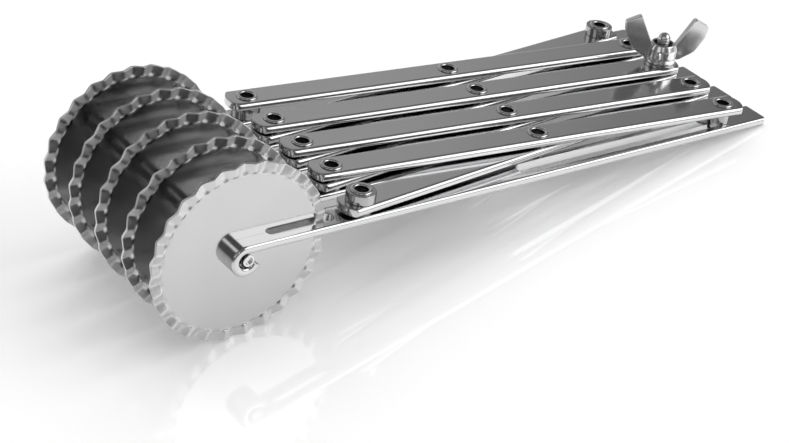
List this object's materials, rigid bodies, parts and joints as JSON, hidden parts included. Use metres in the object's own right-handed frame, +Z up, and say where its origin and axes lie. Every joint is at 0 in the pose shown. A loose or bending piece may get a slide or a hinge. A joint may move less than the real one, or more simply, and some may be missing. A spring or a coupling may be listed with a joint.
{
  "type": "expandable dough cutter",
  "caption": "Hand tool with fluted cutting wheels on slotted arms, joined by a scissor lattice of flat bars that a wing nut clamps at the wanted strip width.",
  "frame": {"origin": "on the surface the tool stands on, under the centre of its bounding box", "axes": "+Z up; +Y from the wheels to the arms' rear ends; +X from arm 1 to arm 5, along the wheels' axis. The arms slope down to the rear by 8.65 degrees, because the tool stands on its wheels and on the arms' rear ends."},
  "size_m": [0.0718, 0.222, 0.055],
  "materials": {
    "strip_steel": "polished",
    "wheel_steel": "mirror polished",
    "rivet_steel": "bright",
    "washer_steel": "satin",
    "nut_steel": "polished casting"
  },
  "bodies": {
    "arm_1": {"arm_1": "strip_steel", "wheel_pin_1": "rivet_steel", "front_rivet_1": "rivet_steel", "front_collar_1": "washer_steel"},
    "arm_2": {"arm_2": "strip_steel", "wheel_pin_2": "rivet_steel", "front_rivet_2": "rivet_steel", "front_washers_2": "washer_steel"},
    "arm_3": {"arm_3": "strip_steel", "wheel_pin_3": "rivet_steel", "front_rivet_3": "rivet_steel", "front_washers_3": "washer_steel"},
    "arm_4": {"arm_4": "strip_steel", "wheel_pin_4": "rivet_steel", "front_rivet_4": "rivet_steel", "front_washers_4": "washer_steel"},
    "arm_5": {"arm_5": "strip_steel", "wheel_pin_5": "rivet_steel", "front_rivet_5": "rivet_steel", "front_washer_5": "washer_steel", "front_collar_5": "washer_steel"},
    "upper_bar_1": {"upper_bar_1": "strip_steel", "middle_rivet_1": "rivet_steel", "middle_washer_1": "washer_steel", "rear_rivet_2": "rivet_steel", "rear_washers_2": "washer_steel"},
    "upper_bar_2": {"upper_bar_2": "strip_steel", "middle_rivet_2": "rivet_steel", "middle_washer_2": "washer_steel", "clamp_screw": "nut_steel", "rear_washers_3": "washer_steel"},
    "upper_bar_3": {"upper_bar_3": "strip_steel", "middle_rivet_3": "rivet_steel", "middle_washer_3": "washer_steel", "rear_rivet_4": "rivet_steel", "rear_washers_4": "washer_steel"},
    "upper_bar_4": {"upper_bar_4": "strip_steel", "middle_rivet_4": "rivet_steel", "middle_washer_4": "washer_steel", "rear_rivet_5": "rivet_steel", "rear_spacer_5": "washer_steel"},
    "lower_bar_1": {"lower_bar_1": "strip_steel", "rear_rivet_1": "rivet_steel", "rear_collar_1": "washer_steel", "rear_washer_1": "washer_steel"},
    "lower_bar_2": {"lower_bar_2": "strip_steel"},
    "lower_bar_3": {"lower_bar_3": "strip_steel"},
    "lower_bar_4": {"lower_bar_4": "strip_steel"},
    "wheel_1": {"wheel_1": "wheel_steel"},
    "wheel_2": {"wheel_2": "wheel_steel"},
    "wheel_3": {"wheel_3": "wheel_steel"},
    "wheel_4": {"wheel_4": "wheel_steel"},
    "wheel_5": {"wheel_5": "wheel_steel"},
    "clamp_washer": {"clamp_washer": "washer_steel"},
    "wing_nut": {"wing_nut": "nut_steel"}
  },
  "joints": [
    {"name": "spread", "type": "hinge", "parent": "arm_3", "child": "upper_bar_3", "pos_m": [0, -0.04423, 0.02608], "axis": [0, -0.1504, -0.9886], "range_deg": [0, 58.5]},
    {"name": "cross_3", "type": "hinge", "parent": "upper_bar_3", "child": "lower_bar_3", "pos_m": [0.00761, 0.02562, 0.0192], "axis": [0, -0.1504, -0.9886], "range_deg": [-117, 0]},
    {"name": "arm_4_pivot", "type": "hinge", "parent": "lower_bar_3", "child": "arm_4", "pos_m": [0.01523, -0.04423, 0.02608], "axis": [0, -0.1504, -0.9886], "range_deg": [0, 58.5]},
    {"name": "upper_4_pivot", "type": "hinge", "parent": "arm_4", "child": "upper_bar_4", "pos_m": [0.01523, -0.04423, 0.02608], "axis": [0, -0.1504, -0.9886], "range_deg": [0, 58.5]},
    {"name": "cross_4", "type": "hinge", "parent": "upper_bar_4", "child": "lower_bar_4", "pos_m": [0.02284, 0.02562, 0.0192], "axis": [0, -0.1504, -0.9886], "range_deg": [-117, 0]},
    {"name": "arm_5_pivot", "type": "hinge", "parent": "lower_bar_4", "child": "arm_5", "pos_m": [0.03046, -0.04423, 0.02608], "axis": [0, -0.1504, -0.9886], "range_deg": [0, 58.5]},
    {"name": "lower_2_pivot", "type": "hinge", "parent": "arm_3", "child": "lower_bar_2", "pos_m": [0, -0.04423, 0.02608], "axis": [0, -0.1504, -0.9886], "range_deg": [-58.5, 0]},
    {"name": "cross_2", "type": "hinge", "parent": "lower_bar_2", "child": "upper_bar_2", "pos_m": [-0.00761, 0.02562, 0.0192], "axis": [0, -0.1504, -0.9886], "range_deg": [0, 117]},
    {"name": "arm_2_pivot", "type": "hinge", "parent": "upper_bar_2", "child": "arm_2", "pos_m": [-0.01523, -0.04423, 0.02608], "axis": [0, -0.1504, -0.9886], "range_deg": [-58.5, 0]},
    {"name": "lower_1_pivot", "type": "hinge", "parent": "arm_2", "child": "lower_bar_1", "pos_m": [-0.01523, -0.04423, 0.02608], "axis": [0, -0.1504, -0.9886], "range_deg": [-58.5, 0]},
    {"name": "cross_1", "type": "hinge", "parent": "lower_bar_1", "child": "upper_bar_1", "pos_m": [-0.02284, 0.02562, 0.0192], "axis": [0, -0.1504, -0.9886], "range_deg": [0, 117]},
    {"name": "arm_1_pivot", "type": "hinge", "parent": "upper_bar_1", "child": "arm_1", "pos_m": [-0.03046, -0.04423, 0.02608], "axis": [0, -0.1504, -0.9886], "range_deg": [-58.5, 0]},
    {"name": "wheel_1_spin", "type": "hinge", "parent": "arm_1", "child": "wheel_1", "pos_m": [-0.03046, -0.08346, 0.0275], "axis": [1, 0, 0], "continuous": true},
    {"name": "wheel_2_spin", "type": "hinge", "parent": "arm_2", "child": "wheel_2", "pos_m": [-0.01523, -0.08346, 0.0275], "axis": [1, 0, 0], "continuous": true},
    {"name": "wheel_3_spin", "type": "hinge", "parent": "arm_3", "child": "wheel_3", "pos_m": [0, -0.08346, 0.0275], "axis": [1, 0, 0], "continuous": true},
    {"name": "wheel_4_spin", "type": "hinge", "parent": "arm_4", "child": "wheel_4", "pos_m": [0.01523, -0.08346, 0.0275], "axis": [1, 0, 0], "continuous": true},
    {"name": "wheel_5_spin", "type": "hinge", "parent": "arm_5", "child": "wheel_5", "pos_m": [0.03046, -0.08346, 0.0275], "axis": [1, 0, 0], "continuous": true},
    {"name": "washer_lift", "type": "slide", "parent": "upper_bar_2", "child": "clamp_washer", "axis": [0, 0.1504, 0.9886], "range_m": [0, 0.0014]},
    {"name": "nut_turn", "type": "hinge", "parent": "clamp_washer", "child": "wing_nut", "pos_m": [0, 0.09545, 0.01222], "axis": [0, 0.1504, 0.9886], "range_deg": [0, 720]}
  ],
  "couplings": [
    {"joint": "cross_3", "follows": "spread", "ratio": -2},
    {"joint": "arm_4_pivot", "follows": "spread", "ratio": 1},
    {"joint": "upper_4_pivot", "follows": "spread", "ratio": 1},
    {"joint": "cross_4", "follows": "spread", "ratio": -2},
    {"joint": "arm_5_pivot", "follows": "spread", "ratio": 1},
    {"joint": "lower_2_pivot", "follows": "spread", "ratio": -1},
    {"joint": "cross_2", "follows": "spread", "ratio": 2},
    {"joint": "arm_2_pivot", "follows": "spread", "ratio": -1},
    {"joint": "lower_1_pivot", "follows": "spread", "ratio": -1},
    {"joint": "cross_1", "follows": "spread", "ratio": 2},
    {"joint": "arm_1_pivot", "follows": "spread", "ratio": -1},
    {"joint": "washer_lift", "follows": "nut_turn", "m_per_rad": 0.00011141}
  ]
}
